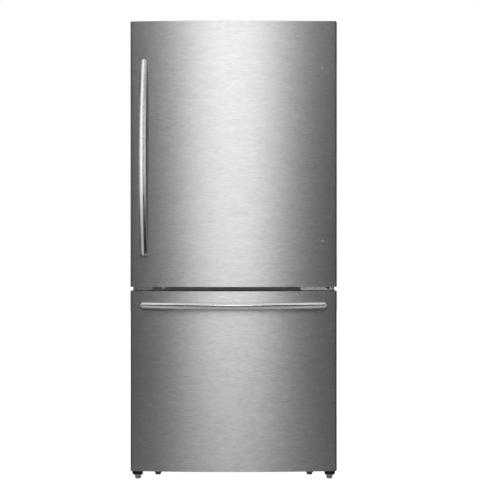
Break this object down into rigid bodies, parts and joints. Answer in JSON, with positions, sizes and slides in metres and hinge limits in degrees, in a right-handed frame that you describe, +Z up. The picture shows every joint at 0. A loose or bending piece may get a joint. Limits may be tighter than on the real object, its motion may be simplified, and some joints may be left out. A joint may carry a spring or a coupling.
{
  "type": "bottom freezer refrigerator",
  "caption": "Free-standing bottom freezer refrigerator with a right-hinged bowed door above a pull-out freezer drawer, with bowed bar handles.",
  "frame": {"origin": "on the floor, at the middle of the bounding box", "axes": "+Z up, doors face -Y, +X to the viewer's right"},
  "size_m": [0.79, 0.7319, 1.775],
  "materials": {
    "door_steel": "horizontally brushed, satin",
    "handle_steel": "finely brushed along the bar",
    "cabinet_paint": "textured grey paint",
    "plated_sheet": "zinc plated",
    "black_steel": "satin black paint",
    "liner_white": "vacuum-formed, soft gloss",
    "foam": "foamed in place",
    "grey_plastic": "fine grain",
    "black_plastic": "moulded",
    "coil_aluminium": "mill finish",
    "clear_plastic": "clear moulding",
    "shelf_glass": "tempered, polished edge",
    "frame_plastic": "moulded",
    "gasket_rubber": "soft vinyl",
    "foot_grey": "moulded over a steel stud"
  },
  "bodies": {
    "cabinet": {"cabinet_shell": "cabinet_paint", "back_panel": "plated_sheet", "mullion_rail": "plated_sheet", "fridge_liner": "liner_white", "freezer_liner": "liner_white", "cabinet_foam": "foam", "base_frame": "black_steel", "centre_hinge": "plated_sheet", "hinge_hole_cover": "grey_plastic", "top_hinge": "plated_sheet", "top_hinge_cover": "grey_plastic", "hinge_screws": "plated_sheet", "machine_cover": "black_plastic", "compressor": "black_steel", "condenser_coil": "coil_aluminium", "condenser_fan_motor": "black_plastic", "drain_pan": "black_plastic", "evaporator_coil": "coil_aluminium", "evaporator_cover": "liner_white", "air_duct": "liner_white", "control_housing": "grey_plastic", "lamp_lens": "clear_plastic", "shelf_glass": "shelf_glass", "shelf_frames": "frame_plastic", "crisper_frame": "frame_plastic", "freezer_slide_rails": "plated_sheet"},
    "fridge_door": {"door_skin": "door_steel", "door_foam": "foam", "door_liner": "liner_white", "door_gasket": "gasket_rubber", "door_end_caps": "grey_plastic", "door_handle": "handle_steel", "door_plugs": "grey_plastic", "door_bins": "clear_plastic", "dairy_bin": "clear_plastic"},
    "dairy_lid": {"dairy_lid": "clear_plastic"},
    "freezer_drawer": {"drawer_skin": "door_steel", "drawer_foam": "foam", "drawer_liner": "liner_white", "drawer_gasket": "gasket_rubber", "drawer_end_caps": "grey_plastic", "drawer_handle": "handle_steel", "drawer_slide_arms": "plated_sheet", "freezer_basket": "liner_white"},
    "slide_members": {"slide_members": "plated_sheet"},
    "freezer_tray": {"freezer_tray": "clear_plastic"},
    "crisper_left": {"crisper_left": "clear_plastic"},
    "crisper_right": {"crisper_right": "clear_plastic"},
    "humidity_slider_left": {"humidity_slider_left": "frame_plastic"},
    "humidity_slider_right": {"humidity_slider_right": "frame_plastic"},
    "evaporator_fan": {"evaporator_fan": "black_plastic"},
    "condenser_fan": {"condenser_fan": "black_plastic"},
    "front_roller_left": {"front_roller_left": "black_plastic"},
    "front_roller_right": {"front_roller_right": "black_plastic"},
    "rear_roller_left": {"rear_roller_left": "black_plastic"},
    "rear_roller_right": {"rear_roller_right": "black_plastic"},
    "foot_left": {"foot_left": "foot_grey"},
    "foot_right": {"foot_right": "foot_grey"},
    "colder_button": {"colder_button": "frame_plastic"},
    "warmer_button": {"warmer_button": "frame_plastic"}
  },
  "joints": [
    {"name": "door_hinge", "type": "hinge", "parent": "cabinet", "child": "fridge_door", "pos_m": [0.374, -0.274, 0.9], "axis": [0, 0, 1], "range_deg": [0, 125]},
    {"name": "dairy_lid_hinge", "type": "hinge", "parent": "fridge_door", "child": "dairy_lid", "pos_m": [-0.156, -0.2315, 1.564], "axis": [1, 0, 0], "range_deg": [0, 75]},
    {"name": "drawer_slide", "type": "slide", "parent": "cabinet", "child": "freezer_drawer", "axis": [0, -1, 0], "range_m": [0, 0.4]},
    {"name": "slide_member_travel", "type": "slide", "parent": "cabinet", "child": "slide_members", "axis": [0, -1, 0], "range_m": [0, 0.2]},
    {"name": "tray_slide", "type": "slide", "parent": "freezer_drawer", "child": "freezer_tray", "axis": [0, 1, 0], "range_m": [0, 0.13]},
    {"name": "crisper_left_slide", "type": "slide", "parent": "cabinet", "child": "crisper_left", "axis": [0, -1, 0], "range_m": [0, 0.2]},
    {"name": "crisper_right_slide", "type": "slide", "parent": "cabinet", "child": "crisper_right", "axis": [0, -1, 0], "range_m": [0, 0.2]},
    {"name": "humidity_left_slide", "type": "slide", "parent": "cabinet", "child": "humidity_slider_left", "axis": [1, 0, 0], "range_m": [-0.015, 0.015]},
    {"name": "humidity_right_slide", "type": "slide", "parent": "cabinet", "child": "humidity_slider_right", "axis": [1, 0, 0], "range_m": [-0.015, 0.015]},
    {"name": "evaporator_fan_spin", "type": "hinge", "parent": "cabinet", "child": "evaporator_fan", "pos_m": [0, 0.252, 0.634], "axis": [0, 1, 0], "continuous": true},
    {"name": "condenser_fan_spin", "type": "hinge", "parent": "cabinet", "child": "condenser_fan", "pos_m": [0.049, 0.2496, 0.1435], "axis": [1, 0, 0], "continuous": true},
    {"name": "front_roller_left_spin", "type": "hinge", "parent": "cabinet", "child": "front_roller_left", "pos_m": [-0.298, -0.206, 0.021], "axis": [1, 0, 0], "continuous": true},
    {"name": "rear_roller_left_spin", "type": "hinge", "parent": "cabinet", "child": "rear_roller_left", "pos_m": [-0.3722, 0.326, 0.02], "axis": [1, 0, 0], "continuous": true},
    {"name": "foot_left_turn", "type": "hinge", "parent": "cabinet", "child": "foot_left", "pos_m": [-0.372, -0.25, 0.02], "axis": [0, 0, 1], "continuous": true},
    {"name": "front_roller_right_spin", "type": "hinge", "parent": "cabinet", "child": "front_roller_right", "pos_m": [0.298, -0.206, 0.021], "axis": [1, 0, 0], "continuous": true},
    {"name": "rear_roller_right_spin", "type": "hinge", "parent": "cabinet", "child": "rear_roller_right", "pos_m": [0.3722, 0.326, 0.02], "axis": [1, 0, 0], "continuous": true},
    {"name": "foot_right_turn", "type": "hinge", "parent": "cabinet", "child": "foot_right", "pos_m": [0.372, -0.25, 0.02], "axis": [0, 0, 1], "continuous": true},
    {"name": "colder_press", "type": "slide", "parent": "cabinet", "child": "colder_button", "axis": [0, 1, 0], "range_m": [0, 0.0015], "stiffness_N_per_m": 400},
    {"name": "warmer_press", "type": "slide", "parent": "cabinet", "child": "warmer_button", "axis": [0, 1, 0], "range_m": [0, 0.0015], "stiffness_N_per_m": 400}
  ],
  "couplings": [
    {"joint": "slide_member_travel", "follows": "drawer_slide", "ratio": 0.5},
    {"joint": "crisper_left_slide", "follows": "door_hinge", "m_per_rad": 0.09},
    {"joint": "crisper_right_slide", "follows": "door_hinge", "m_per_rad": 0.09}
  ]
}
